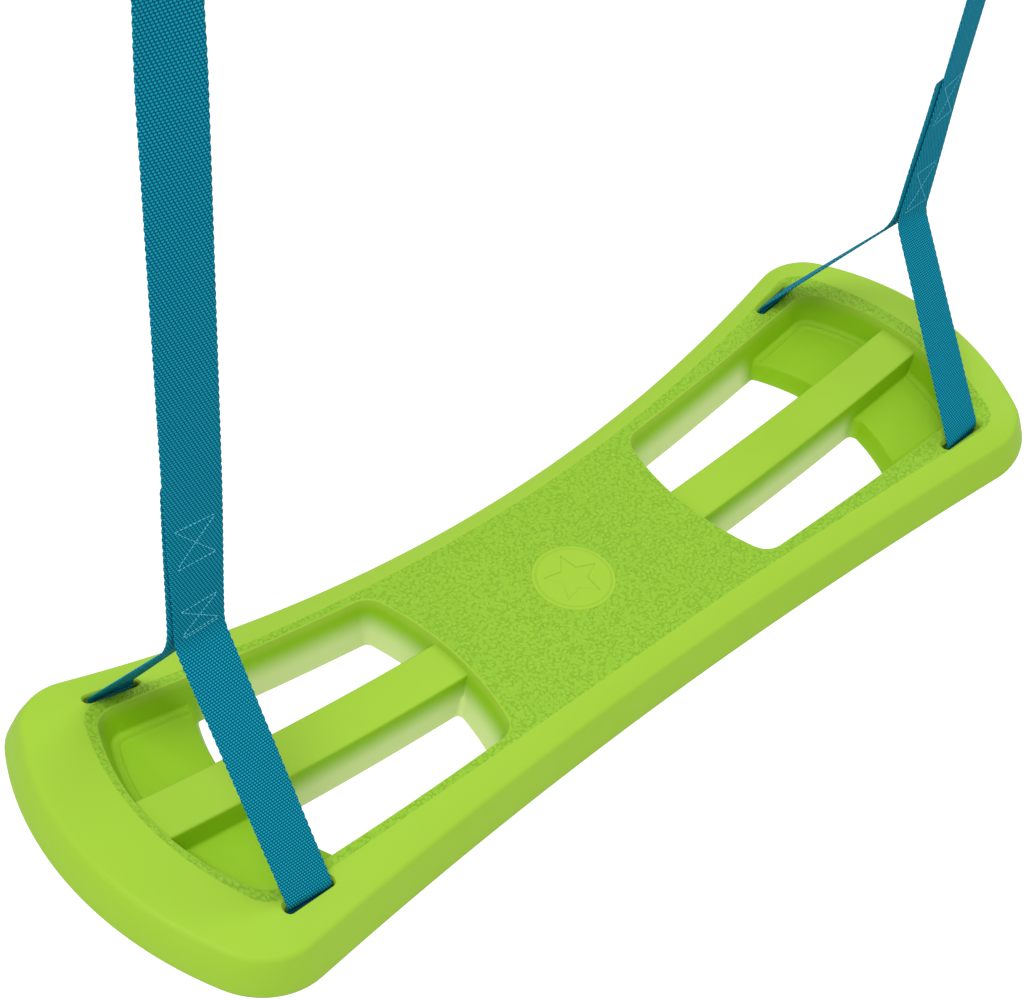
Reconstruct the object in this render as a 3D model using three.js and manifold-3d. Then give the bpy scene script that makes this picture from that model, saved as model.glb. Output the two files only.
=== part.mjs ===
// Board swing: a hollow hourglass platform hung from two webbing bridles, each on a D-ring
// and a spring snap hook. Millimetres, +Z up, X along the board, -Y is the front edge.
// The origin is on the hanging line, midway between the two hooks.
import * as THREE from "three";
import { mergeVertices } from "three/addons/utils/BufferGeometryUtils.js";
import Module from "manifold-3d";

const wasm = await Module();
wasm.setup();

// ---------- driving dimensions ----------

const board = {
  thick: 44,
  wall: 3,
  bowRadius: 1930, // the ends curve up on this radius
  halfWaist: 114, // at the top of the side wall, as are the lengths
  near: { halfLength: 485, sideRadius: 2276, endRadius: 265, cornerRadius: 50 },
  far: { halfLength: 480, sideRadius: 2276, endRadius: 265, cornerRadius: 50 },
  flare: 9.6, // how far the side wall leans out towards its foot
};

// The rounding between the bevel round the land and the side wall.
const shoulder = { drop: 7.3, radius: 5.5 };

// The flat, textured land is narrower at the near (-X) end than at the far (+X) end.
const land = {
  halfWaist: 94,
  near: { halfLength: 433, sideRadius: 4400, endRadius: 250, cornerRadius: 24 },
  far: { halfLength: 440, sideRadius: 2300, endRadius: 300, cornerRadius: 24 },
};

const window = {
  innerX: 135.5,
  innerRadius: 260,
  outerX: 428,
  outerRadius: 205,
  halfWidthInner: 87.5, // at x = innerX
  halfWidthOuter: 103.5, // at x = outerX
  innerCorner: 20,
  outerCorner: 24,
  draft: 0.31, // how far a wall leans in per millimetre of depth
  shelfDepth: 27,
};

// Beside the spine the window goes right through, up to an arc under the outer shelf.
const hole = { centreX: 150, radius: 206.5, corner: 9 };

const spine = {
  drop: 6, // top face below the deck
  halfTop: 20.9,
  halfBottom: 27,
  edge: 2.5, // rounding along the top edges
  fromX: 108,
  toX: 446,
};

const slot = {
  x: 377.5,
  y: 117,
  length: 45,
  width: 7,
  turn: THREE.MathUtils.degToRad(4.5),
  flare: 3,
  flareDepth: 4,
};

// A plain round medallion with a star sunk into it, and the moulding's blow hole below.
const emblem = { radius: 36, rise: 0.9, sink: 0.6, starOuter: 26, starInner: 12 };
const blowHole = { radius: 3, x: 60 };

const webbing = {
  width: 40,
  thick: 2,
  gap: 0.3,
  apexZ: 211, // where the two legs meet, above the deck at the waist
  tailZ: 356, // end of the stitched-back tail
  eyeBarZ: 785, // centre of the D-ring bar
  eyeClearance: 3.5,
  eyeTail: 60, // how far the eye's return comes down
  slotDepth: 5, // where the bridle ends below the deck, inside the slot
  slotPlay: 3.2, // room for its end to turn with the board
  step: 22, // length of one segment along a straight stretch
  frontBend: 8, // half the length of the bend between a leg and the strap
  rearBend: 20,
};

// The tail is sewn on a little to one side of the strap in front of it.
const tailShift = { near: -4, far: -2 };

// Each strap hangs a little turned about its own axis, over the stretch between its joint
// and its eye.
const twist = {
  near: THREE.MathUtils.degToRad(-9),
  far: THREE.MathUtils.degToRad(15),
  growsOver: 150,
  endsBelowBar: 68,
  fadesOver: 90,
};

const ring = { wire: 3, halfWidth: 26, sideHeight: 16 };

const hook = {
  wire: 4,
  bowRadius: 13,
  straight: 34,
  pinZ: 4.5, // the gate's pin, above the centre of the lower bow
  noseZ: 29,
  gateWire: 3.6,
  lugRadius: 3.4, // round end of the tongue and of the fork's cheeks
  tongue: 2.8, // thickness of the tongue that the gate's fork straddles
  cheek: 1.5,
  pinRadius: 1.1,
};

const GAP = 0.3;

// ---------- derived positions ----------

const ringTopZ = webbing.eyeBarZ + ring.sideHeight + ring.halfWidth;
const hookLowZ = ringTopZ - ring.wire - GAP - hook.wire; // wire centre at the foot of the hook
const hookBowZ = hookLowZ + hook.bowRadius;
const hookTopBowZ = hookBowZ + hook.straight;
const hangDrop = hookTopBowZ + hook.bowRadius - hook.wire;

const bow = (x) => (x * x) / (2 * board.bowRadius);
const slotDeckZ = bow(slot.x);
const slotSlope = slot.x / board.bowRadius;
const splitZ = slotDeckZ - webbing.slotDepth;

// ---------- materials ----------

const plastic = () =>
  new THREE.MeshStandardMaterial({ color: 0x9ccf3c, roughness: 0.45, metalness: 0 });
const fabric = () =>
  new THREE.MeshStandardMaterial({ color: 0x0f7d96, roughness: 0.85, metalness: 0 });
const thread = () =>
  new THREE.MeshStandardMaterial({ color: 0x5abed2, roughness: 0.7, metalness: 0 });
const steel = () =>
  new THREE.MeshStandardMaterial({ color: 0xc2c5c8, roughness: 0.3, metalness: 1 });

// ---------- solids and booleans ----------

function solid(geometry) {
  geometry.deleteAttribute("normal");
  geometry.deleteAttribute("uv");
  const merged = mergeVertices(geometry, 1e-4);
  return new wasm.Manifold(
    new wasm.Mesh({
      numProp: 3,
      vertProperties: merged.attributes.position.array,
      triVerts: new Uint32Array(merged.index.array),
    }),
  );
}

function geometryOf(manifold) {
  const mesh = manifold.getMesh();
  const geometry = new THREE.BufferGeometry();
  geometry.setAttribute("position", new THREE.BufferAttribute(mesh.vertProperties, 3));
  geometry.setIndex(new THREE.BufferAttribute(mesh.triVerts, 1));
  geometry.computeVertexNormals();
  return geometry;
}

// ---------- outlines made of arcs ----------

// An edge is part of a circle. A positive radius has the inside of the outline within the
// circle, a negative one outside it, so an inset takes the same amount off every radius.
const arcEdge = (x, y, radius, steps) => ({ x, y, radius, steps });

// A straight edge from a to b is an arc of a very large circle, centred on its left.
function straightEdge(a, b, steps) {
  const radius = 1e5;
  const dx = b[0] - a[0];
  const dy = b[1] - a[1];
  const length = Math.hypot(dx, dy);
  const x = (a[0] + b[0]) / 2 - (dy / length) * radius;
  const y = (a[1] + b[1]) / 2 + (dx / length) * radius;
  return { x, y, radius, steps };
}

// The centre of a corner arc that touches two edges from inside, near the given point.
function cornerCentre(a, b, corner) {
  const ra = Math.abs(a.radius - corner.radius);
  const rb = Math.abs(b.radius - corner.radius);
  const dx = b.x - a.x;
  const dy = b.y - a.y;
  const d = Math.hypot(dx, dy);
  const along = (ra * ra - rb * rb + d * d) / (2 * d);
  const across = Math.sqrt(ra * ra - along * along);
  const options = [1, -1].map((side) => [
    a.x + (along * dx - side * across * dy) / d,
    a.y + (along * dy + side * across * dx) / d,
  ]);
  const distance = (p) => Math.hypot(p[0] - corner.near[0], p[1] - corner.near[1]);
  return distance(options[0]) < distance(options[1]) ? options[0] : options[1];
}

// Where a corner arc with this centre meets an inset edge.
function touchPoint(edge, centre, inset) {
  const length = Math.hypot(centre[0] - edge.x, centre[1] - edge.y);
  const share = Math.abs(edge.radius - inset) / length;
  return [edge.x + (centre[0] - edge.x) * share, edge.y + (centre[1] - edge.y) * share];
}

// Points from a to b on the shorter arc about (x, y), without b itself.
function arcPoints(x, y, a, b, steps) {
  const start = Math.atan2(a[1] - y, a[0] - x);
  let sweep = Math.atan2(b[1] - y, b[0] - x) - start;
  if (sweep > Math.PI) sweep -= 2 * Math.PI;
  if (sweep < -Math.PI) sweep += 2 * Math.PI;
  const radius = Math.hypot(a[0] - x, a[1] - y);
  return Array.from({ length: steps }, (_, i) => {
    const angle = start + (sweep * i) / steps;
    return [x + radius * Math.cos(angle), y + radius * Math.sin(angle)];
  });
}

// Half an outline, from `start` along the edges and their corners to `end`. It is a
// function of the inset, and gives the same number of points for each inset.
function chain(edges, corners, start, end) {
  const centres = corners.map((corner, i) => cornerCentre(edges[i], edges[i + 1], corner));
  return (inset) => {
    const points = [];
    let from = start(inset);
    edges.forEach((edge, i) => {
      const corner = centres[i];
      const to = corner ? touchPoint(edge, corner, inset) : end(inset);
      points.push(...arcPoints(edge.x, edge.y, from, to, edge.steps));
      if (corner) {
        from = touchPoint(edges[i + 1], corner, inset);
        points.push(...arcPoints(corner[0], corner[1], to, from, corners[i].steps));
      }
    });
    return [...points, end(inset)];
  };
}

// A closed outline from its rear half, which runs from the +X tip to the -X tip.
function closed(half) {
  const front = half
    .slice(1, -1)
    .map(([x, y]) => [x, -y])
    .reverse();
  return [...half, ...front];
}

// The same outline turned end for end, starting at its tip on the X axis.
function turned(points) {
  const flipped = points.map(([x, y]) => [-x, y]);
  return [flipped[0], ...flipped.slice(1).reverse()];
}

// ---------- lofts that follow the bow ----------

const atDepth = (points, depth) => points.map(([x, y]) => [x, y, bow(x) - depth]);

// A closed solid through matching rings, from the highest to the lowest. Each cap is a
// ladder between points that face each other across the outline, so it follows the bow.
function loft(rings) {
  const count = rings[0].length;
  const index = [];
  for (let r = 0; r + 1 < rings.length; r += 1) {
    for (let i = 0; i < count; i += 1) {
      const a = r * count + i;
      const b = r * count + ((i + 1) % count);
      index.push(a, a + count, b + count, a, b + count, b);
    }
  }
  const low = (rings.length - 1) * count;
  for (let a = 0; a < count / 2; a += 1) {
    const b = a + 1;
    const c = count - a - 1;
    const d = (count - a) % count;
    if (b !== c) index.push(a, b, c, low + a, low + c, low + b);
    if (d !== a) index.push(a, c, d, low + a, low + d, low + c);
  }
  const geometry = new THREE.BufferGeometry();
  geometry.setAttribute("position", new THREE.Float32BufferAttribute(rings.flat(2), 3));
  geometry.setIndex(index);
  return solid(geometry);
}

// ---------- outlines of the board ----------

// The rear half of one end of an hourglass, from its tip to the waist.
function hourglassEnd(halfWaist, end) {
  const cap = arcEdge(end.halfLength - end.endRadius, 0, end.endRadius, 5);
  const side = arcEdge(0, halfWaist + end.sideRadius, -end.sideRadius, 8);
  const near = [end.halfLength, 1.4 * halfWaist];
  return chain(
    [cap, side],
    [{ radius: end.cornerRadius, near, steps: 4 }],
    (inset) => [end.halfLength - inset, 0],
    (inset) => [0, halfWaist - inset],
  );
}

// An hourglass: hollow long sides, rounded ends and rounded corners.
function hourglass(halfWaist, near, far) {
  const farHalf = hourglassEnd(halfWaist, far);
  const nearHalf = hourglassEnd(halfWaist, near);
  return (inset) => {
    const flipped = nearHalf(inset).map(([x, y]) => [-x, y]);
    return closed([...farHalf(inset), ...flipped.reverse().slice(1)]);
  };
}

const rimOutline = hourglass(board.halfWaist, board.near, board.far);
const landOutline = hourglass(land.halfWaist, land.near, land.far);

// The far window between an outer arc, its two straight sides and its inner arc.
function windowOutline(outer, outerX, outerCorner) {
  const rearOuter = [window.outerX, window.halfWidthOuter];
  const rearInner = [window.innerX, window.halfWidthInner];
  const inner = arcEdge(window.innerX + window.innerRadius, 0, window.innerRadius, 4);
  const half = chain(
    [outer, straightEdge(rearOuter, rearInner, 5), inner],
    [
      { radius: outerCorner, near: [outerX, window.halfWidthOuter], steps: 4 },
      { radius: window.innerCorner, near: rearInner, steps: 4 },
    ],
    (inset) => [outerX - inset, 0],
    (inset) => [window.innerX + inset, 0],
  );
  return (inset) => closed(half(inset));
}

const pocketOutline = windowOutline(
  arcEdge(window.outerX - window.outerRadius, 0, window.outerRadius, 4),
  window.outerX,
  window.outerCorner,
);
const holeOutline = windowOutline(
  arcEdge(hole.centreX, 0, hole.radius, 4),
  hole.centreX + hole.radius,
  hole.corner,
);

// A rounded slot of the given size, turned and placed in one quarter of the board.
function slotOutline(sideX, sideY, inset) {
  const radius = slot.width / 2 - inset;
  const reach = slot.length / 2 - slot.width / 2;
  const angle = sideX * sideY * slot.turn;
  const ends = [1, -1].flatMap((end) =>
    Array.from({ length: 5 }, (_, i) => {
      const around = (i / 4 - end / 2) * Math.PI;
      return [end * reach + radius * Math.cos(around), radius * Math.sin(around)];
    }),
  );
  return ends.map(([x, y]) => [
    sideX * slot.x + x * Math.cos(angle) - y * Math.sin(angle),
    sideY * slot.y + x * Math.sin(angle) + y * Math.cos(angle),
  ]);
}

// ---------- the board ----------

// The outside of the board from the land down to the flat underside. `skin` moves every
// surface inwards, which gives the hollow inside.
function boardBody(skin) {
  const rim = (inset, depth) => atDepth(rimOutline(inset + skin), depth);
  const { drop, radius } = shoulder;
  const bottom = board.thick - skin;
  return loft([
    atDepth(landOutline(skin), skin),
    rim(0.7 * radius, drop + skin),
    rim(0.2 * radius, drop + 0.4 * radius + skin / 2),
    rim(0, drop + radius),
    rim(-board.flare, board.thick - 8),
    rim(2 - board.flare, bottom - 2),
    rim(7 - board.flare, bottom),
  ]);
}

function windowCut(shape, bottom, skin) {
  const inset = (depth) => window.draft * depth - skin;
  return loft([
    atDepth(shape(inset(0)), -6),
    atDepth(shape(inset(0)), 0),
    atDepth(shape(inset(bottom)), bottom),
  ]);
}

// The flat-topped beam that crosses a window lengthwise, with leaning sides.
function spineBody(skin) {
  const rectangle = (halfWidth) => {
    const steps = 6;
    const x = (i) => spine.toX + ((spine.fromX - spine.toX) * i) / steps;
    const rear = Array.from({ length: steps + 1 }, (_, i) => [x(i), halfWidth - skin]);
    return closed([[spine.toX, 0], ...rear, [spine.fromX, 0]]);
  };
  const top = spine.drop + skin;
  return loft([
    atDepth(rectangle(spine.halfTop - spine.edge), top),
    atDepth(rectangle(spine.halfTop - 0.3 * spine.edge), top + 0.3 * spine.edge),
    atDepth(rectangle(spine.halfTop), top + spine.edge),
    atDepth(rectangle(spine.halfBottom), board.thick - 1 - skin),
  ]);
}

// A webbing slot right through the board, flared at both mouths.
function slotCut(sideX, sideY, skin) {
  const ring = (inset, depth) => atDepth(slotOutline(sideX, sideY, inset - skin), depth);
  return loft([
    ring(-slot.flare, -4),
    ring(-slot.flare, 0),
    ring(0, slot.flareDepth),
    ring(0, board.thick - slot.flareDepth),
    ring(-slot.flare, board.thick),
    ring(-slot.flare, board.thick + 4),
  ]);
}

function boardForm(skin) {
  let form = boardBody(skin);
  for (const end of [1, -1]) {
    const facing = (shape) => (end > 0 ? shape : (inset) => turned(shape(inset)));
    form = form
      .subtract(windowCut(facing(pocketOutline), window.shelfDepth + skin, skin))
      .subtract(windowCut(facing(holeOutline), board.thick + 4, skin));
    const beam = geometryOf(spineBody(skin));
    if (end < 0) beam.rotateZ(Math.PI);
    form = form.add(solid(beam));
    for (const side of [1, -1]) form = form.subtract(slotCut(end, side, skin));
  }
  return form;
}

function star(outer, inner) {
  const shape = new THREE.Shape();
  for (let i = 0; i < 10; i += 1) {
    const radius = i % 2 ? inner : outer;
    const angle = (i * Math.PI) / 5;
    shape.lineTo(radius * Math.cos(angle), radius * Math.sin(angle));
  }
  return shape;
}

function medallion() {
  const height = emblem.rise + board.wall / 2;
  const disc = new THREE.CylinderGeometry(emblem.radius, emblem.radius + 1, height, 32);
  disc.rotateX(Math.PI / 2).translate(0, 0, emblem.rise - height / 2);
  const sunk = new THREE.ExtrudeGeometry(star(emblem.starOuter, emblem.starInner), {
    depth: 4,
    bevelEnabled: false,
  });
  sunk.translate(0, 0, emblem.rise - emblem.sink);
  return { disc: solid(disc), sunk: solid(sunk) };
}

function boardGeometry() {
  const { disc, sunk } = medallion();
  const vent = new THREE.CylinderGeometry(blowHole.radius, blowHole.radius, 12, 16);
  vent.rotateX(Math.PI / 2).translate(blowHole.x, 0, -board.thick);
  const shell = boardForm(0).subtract(boardForm(board.wall)).subtract(solid(vent));
  return geometryOf(shell.add(disc).subtract(sunk));
}

// Stands a flat shape up in the YZ plane, with its thickness along X.
const toYZ = new THREE.Matrix4().makeBasis(
  new THREE.Vector3(0, 1, 0),
  new THREE.Vector3(0, 0, 1),
  new THREE.Vector3(1, 0, 0),
);

// ---------- webbing ----------

// The two sides of a strip of the given thickness along a flat centre line.
function stripSides(line, thick) {
  return [1, -1].map((side) =>
    line.map((p, i) => {
      const before = line[Math.max(i - 1, 0)];
      const after = line[Math.min(i + 1, line.length - 1)];
      const along = after.clone().sub(before).normalize();
      const here = i ? p.clone().sub(before).normalize() : along;
      const mitre = Math.min(1 / Math.max(along.dot(here), 0.3), 2);
      const offset = (side * mitre * thick) / 2;
      return new THREE.Vector2(p.x - along.y * offset, p.y + along.x * offset);
    }),
  );
}

// A strip of webbing whose centre line lies in the YZ plane, spanning its width along X.
function webbingStrip(path, curveSteps, acrossSteps) {
  const [left, right] = stripSides(path.getPoints(curveSteps), webbing.thick);
  const across = Array.from(
    { length: acrossSteps + 1 },
    (_, i) => webbing.width * (i / acrossSteps - 0.5),
  );
  const rings = left.map((p, i) => [
    ...across.map((x) => [-x, p.x, p.y]),
    ...across.map((x) => [x, right[i].x, right[i].y]),
  ]);
  return geometryOf(loft(rings));
}

// Leans the lower end of a strip to the slope that the board has at its slots.
function leanToBoard(geometry, towardFar, topZ) {
  const position = geometry.attributes.position;
  for (let i = 0; i < position.count; i += 1) {
    const z = position.getZ(i);
    const share = THREE.MathUtils.clamp((topZ - z) / (topZ - splitZ), 0, 1);
    position.setZ(i, z + towardFar * slotSlope * position.getX(i) * share);
  }
  return geometry;
}

// Moves a tail sideways, from nothing at its foot to the full shift at the joint.
function shiftTail(geometry, shift) {
  const position = geometry.attributes.position;
  for (let i = 0; i < position.count; i += 1) {
    const share = THREE.MathUtils.smoothstep(position.getZ(i), slotDeckZ, webbing.apexZ);
    position.setX(i, position.getX(i) + shift * share);
  }
  return geometry;
}

// Turns a strap or its stitching about the strap's axis, as far as the height says.
function twistStrap(geometry, turn) {
  const { smoothstep } = THREE.MathUtils;
  const fadeEnd = webbing.eyeBarZ - twist.endsBelowBar;
  const position = geometry.attributes.position;
  for (let i = 0; i < position.count; i += 1) {
    const [x, y, z] = [position.getX(i), position.getY(i), position.getZ(i)];
    const grown = smoothstep(z, webbing.apexZ, webbing.apexZ + twist.growsOver);
    const left = 1 - smoothstep(z, fadeEnd - twist.fadesOver, fadeEnd);
    const angle = turn * grown * left;
    position.setX(i, x * Math.cos(angle) - y * Math.sin(angle));
    position.setY(i, x * Math.sin(angle) + y * Math.cos(angle));
  }
  return geometry;
}

const layerY = (webbing.thick + webbing.gap) / 2;

// Carries a path straight up or down to a height, in short segments.
function straightTo(path, z) {
  const { x, y } = path.currentPoint;
  const steps = Math.ceil(Math.abs(z - y) / webbing.step);
  for (let i = 1; i <= steps; i += 1) path.lineTo(x, y + ((z - y) * i) / steps);
}

// A path that rises from its slot to the strap, with both bends rounded.
function legPath(side) {
  const foot = new THREE.Vector2(side * slot.y, slotDeckZ);
  const apex = new THREE.Vector2(side * layerY, webbing.apexZ);
  const lean = apex.clone().sub(foot).normalize();
  const bend = side > 0 ? webbing.rearBend : webbing.frontBend;
  const path = new THREE.Path();
  path.moveTo(foot.x, splitZ);
  path.lineTo(foot.x, foot.y - 2.5);
  path.quadraticCurveTo(foot.x, foot.y, foot.x + 3 * lean.x, foot.y + 3 * lean.y);
  path.lineTo(apex.x - bend * lean.x, apex.y - bend * lean.y);
  path.quadraticCurveTo(apex.x, apex.y, apex.x, apex.y + bend);
  return path;
}

// Front leg, strap and the sewn eye round the ring's bar.
function mainStrap(towardFar, turn) {
  const eye = ring.wire + webbing.eyeClearance + webbing.thick / 2;
  const neck = webbing.eyeBarZ - 26;
  const path = legPath(-1);
  straightTo(path, neck);
  path.bezierCurveTo(-layerY, neck + 14, -eye, neck + 12, -eye, webbing.eyeBarZ);
  path.absarc(0, webbing.eyeBarZ, eye, Math.PI, 0, true);
  path.bezierCurveTo(eye, neck + 12, layerY, neck + 14, layerY, neck);
  path.lineTo(layerY, webbing.eyeBarZ - webbing.eyeTail);
  return twistStrap(leanToBoard(webbingStrip(path, 5, 5), towardFar, webbing.apexZ), turn);
}

// Rear leg and the tail that is stitched to the back of the strap.
function tailStrap(towardFar, turn, shift) {
  const path = legPath(1);
  straightTo(path, webbing.tailZ);
  const strip = leanToBoard(webbingStrip(path, 5, 5), towardFar, webbing.apexZ);
  return twistStrap(shiftTail(strip, shift), turn);
}

// The stretch that runs down one slot, under the board and up the other.
function underStrap(towardFar) {
  const low = slotDeckZ - board.thick - GAP - webbing.thick / 2;
  const bend = 5;
  const path = new THREE.Path();
  path.moveTo(-slot.y, splitZ - webbing.slotPlay);
  path.lineTo(-slot.y, low + bend);
  path.quadraticCurveTo(-slot.y, low, -slot.y + bend, low);
  path.lineTo(slot.y - bend, low);
  path.quadraticCurveTo(slot.y, low, slot.y, low + bend);
  path.lineTo(slot.y, splitZ - webbing.slotPlay);
  return leanToBoard(webbingStrip(path, 4, 1), towardFar, 1e6);
}

// Sewing thread on the front face of the strap: a line across, a diagonal down and a line
// across again.
function stitching({ lowZ, highZ }, turn) {
  const halfWidth = 14;
  const slant = 2;
  const perStroke = 8;
  const corners = [
    new THREE.Vector2(halfWidth, highZ),
    new THREE.Vector2(-halfWidth, highZ - slant),
    new THREE.Vector2(halfWidth, lowZ + slant),
    new THREE.Vector2(-halfWidth, lowZ),
  ];
  const line = [corners[0]];
  for (let i = 1; i < corners.length; i += 1) {
    for (let k = 1; k <= perStroke; k += 1) {
      line.push(corners[i - 1].clone().lerp(corners[i], k / perStroke));
    }
  }
  const [left, right] = stripSides(line, 1.1);
  const zigzag = new THREE.ExtrudeGeometry(new THREE.Shape([...left, ...right.reverse()]), {
    depth: 0.5,
    bevelEnabled: false,
  });
  const face = -layerY - webbing.thick / 2 - GAP;
  return twistStrap(zigzag.rotateX(Math.PI / 2).translate(0, face, 0), turn);
}

const stitchBlocks = {
  near: {
    stitch_lower: { lowZ: 220, highZ: 246 },
    stitch_upper: { lowZ: 284, highZ: 321 },
    stitch_eye: { lowZ: 729, highZ: 755 },
  },
  far: {
    stitch_lower: { lowZ: 221, highZ: 265 },
    stitch_upper: { lowZ: 312, highZ: 351 },
    stitch_eye: { lowZ: 729, highZ: 755 },
  },
};

// ---------- ring and snap hook ----------

function rod(points, radius, sides, steps) {
  const circle = new THREE.Shape().absarc(0, 0, radius, 0, 2 * Math.PI, false);
  return new THREE.ExtrudeGeometry(circle, {
    steps,
    curveSegments: sides / 2,
    bevelEnabled: false,
    extrudePath: new THREE.CatmullRomCurve3(points, false, "centripetal"),
  });
}

// Points on half a circle in the plane (a, z), from the angle `from` to `from + PI * turn`.
function halfCircle(centreZ, radius, from, turn, steps) {
  return Array.from({ length: steps + 1 }, (_, i) => {
    const angle = from + (turn * Math.PI * i) / steps;
    return [radius * Math.cos(angle), centreZ + radius * Math.sin(angle)];
  });
}

const cylinderAlongX = (radius, length, sides) =>
  new THREE.CylinderGeometry(radius, radius, length, sides).rotateZ(Math.PI / 2);

// A D-ring: a straight bar for the webbing and a round bow for the hook.
function ringGeometry() {
  const low = webbing.eyeBarZ - ring.wire;
  const shoulder = webbing.eyeBarZ + ring.sideHeight;
  const bowPoints = halfCircle(shoulder, ring.halfWidth, 0, 1, 8);
  const line = [[ring.halfWidth, low], [ring.halfWidth, shoulder - 8], ...bowPoints];
  line.push([-ring.halfWidth, shoulder - 8], [-ring.halfWidth, low]);
  const points = line.map(([x, z]) => new THREE.Vector3(x, 0, z));
  const bar = cylinderAlongX(ring.wire - 0.2, 2 * ring.halfWidth, 10);
  bar.translate(0, 0, webbing.eyeBarZ);
  return geometryOf(solid(rod(points, ring.wire, 8, 22)).add(solid(bar)));
}

// A flat lug in the YZ plane with a round end and a hole for the gate's pin. It reaches
// `below` under the pin, or `above` over it.
function lug(thick, centreX, below, above) {
  const radius = hook.lugRadius;
  const shape = new THREE.Shape();
  if (below) {
    shape.moveTo(-radius, -below);
    shape.lineTo(radius, -below);
    shape.absarc(0, 0, radius, 0, Math.PI, false);
  } else {
    shape.moveTo(radius, above);
    shape.lineTo(-radius, above);
    shape.absarc(0, 0, radius, Math.PI, 2 * Math.PI, false);
  }
  shape.closePath();
  const hole = new THREE.Path().absarc(0, 0, hook.pinRadius + GAP, 0, 2 * Math.PI, true);
  shape.holes.push(hole);
  const plate = new THREE.ExtrudeGeometry(shape, {
    depth: thick,
    curveSegments: 8,
    bevelEnabled: false,
  });
  plate.applyMatrix4(toYZ).translate(centreX - thick / 2, 0, 0);
  return plate.translate(0, -hook.bowRadius, hookBowZ + hook.pinZ);
}

// The hook's body: a long oval of wire, open along one side where the gate closes it. Its
// lower end is a tongue for the gate's fork.
function hookGeometry() {
  const lower = halfCircle(hookBowZ, hook.bowRadius, Math.PI, 1, 8);
  const upper = halfCircle(hookTopBowZ, hook.bowRadius, 0, 1, 8);
  const line = [...lower, ...upper, [-hook.bowRadius, hookBowZ + hook.noseZ]];
  const points = line.map(([y, z]) => new THREE.Vector3(0, y, z));
  const body = solid(rod(points, hook.wire, 8, 26)).add(solid(lug(hook.tongue, 0, 6, 0)));
  return geometryOf(body);
}

// The gate: a straight rod whose forked lower end turns on the pin.
function gateGeometry() {
  const topZ = hook.noseZ - 0.5;
  const lowZ = hook.pinZ + hook.lugRadius + 0.8;
  const bar = new THREE.CylinderGeometry(hook.gateWire, hook.gateWire, topZ - lowZ, 10);
  bar.rotateX(Math.PI / 2);
  bar.translate(0, -hook.bowRadius, hookBowZ + (topZ + lowZ) / 2);
  const cheekX = hook.tongue / 2 + GAP + hook.cheek / 2;
  const rise = hook.lugRadius + 3;
  const gate = solid(bar)
    .add(solid(lug(hook.cheek, cheekX, 0, rise)))
    .add(solid(lug(hook.cheek, -cheekX, 0, rise)));
  return geometryOf(gate);
}

function pinGeometry() {
  const length = hook.tongue + 2 * (GAP + hook.cheek);
  const pin = cylinderAlongX(hook.pinRadius, length, 10);
  return pin.translate(0, -hook.bowRadius, hookBowZ + hook.pinZ);
}

// ---------- assembly ----------

function piece(name, geometry, material) {
  const mesh = new THREE.Mesh(geometry, material);
  mesh.name = name;
  return mesh;
}

// Everything that hangs at one end of the board.
function suspension(name, towardFar, turn) {
  const group = new THREE.Group();
  group.add(piece(`${name}_strap_main`, mainStrap(towardFar, turn), fabric()));
  const tail = tailStrap(towardFar, turn, tailShift[name]);
  group.add(piece(`${name}_strap_tail`, tail, fabric()));
  group.add(piece(`${name}_strap_under_board`, underStrap(towardFar), fabric()));
  for (const [block, size] of Object.entries(stitchBlocks[name])) {
    group.add(piece(`${name}_${block}`, stitching(size, turn), thread()));
  }
  group.add(piece(`${name}_d_ring`, ringGeometry(), steel()));
  group.add(piece(`${name}_hook_body`, hookGeometry(), steel()));
  group.add(piece(`${name}_hook_gate`, gateGeometry(), steel()));
  group.add(piece(`${name}_hook_pin`, pinGeometry(), steel()));
  group.position.x = towardFar * slot.x;
  return group;
}

const swing = new THREE.Group();
swing.add(piece("board", boardGeometry(), plastic()));
swing.add(suspension("near", -1, twist.near));
swing.add(suspension("far", 1, twist.far));
swing.position.z = -hangDrop;

const part = new THREE.Group();
part.add(swing);

export default part;
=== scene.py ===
# Board swing: the moulded board, its two webbing bridles and their steel fittings.
# Lengths are in millimetres and heights are above the deck at the board's waist. Each
# finished mesh is then turned into metres and set down in the CAD model's frame.
import math

import bmesh
import bpy
import numpy as np
from mathutils import Matrix, Vector


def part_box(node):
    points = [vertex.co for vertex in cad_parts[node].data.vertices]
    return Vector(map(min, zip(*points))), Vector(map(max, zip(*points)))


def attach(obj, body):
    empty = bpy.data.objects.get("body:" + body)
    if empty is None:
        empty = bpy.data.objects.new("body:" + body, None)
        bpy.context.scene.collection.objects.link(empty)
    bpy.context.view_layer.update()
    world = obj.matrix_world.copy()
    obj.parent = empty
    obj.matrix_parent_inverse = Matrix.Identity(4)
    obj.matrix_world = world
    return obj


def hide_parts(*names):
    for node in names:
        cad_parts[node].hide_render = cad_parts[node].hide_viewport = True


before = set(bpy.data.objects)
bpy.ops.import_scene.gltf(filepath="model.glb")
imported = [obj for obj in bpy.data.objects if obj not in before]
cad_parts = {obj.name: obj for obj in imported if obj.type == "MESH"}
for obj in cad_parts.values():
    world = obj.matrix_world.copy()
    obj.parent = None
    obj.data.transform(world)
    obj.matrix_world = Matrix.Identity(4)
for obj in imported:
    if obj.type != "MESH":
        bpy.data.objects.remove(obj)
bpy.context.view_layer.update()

# ---------- dimensions ----------

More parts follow.
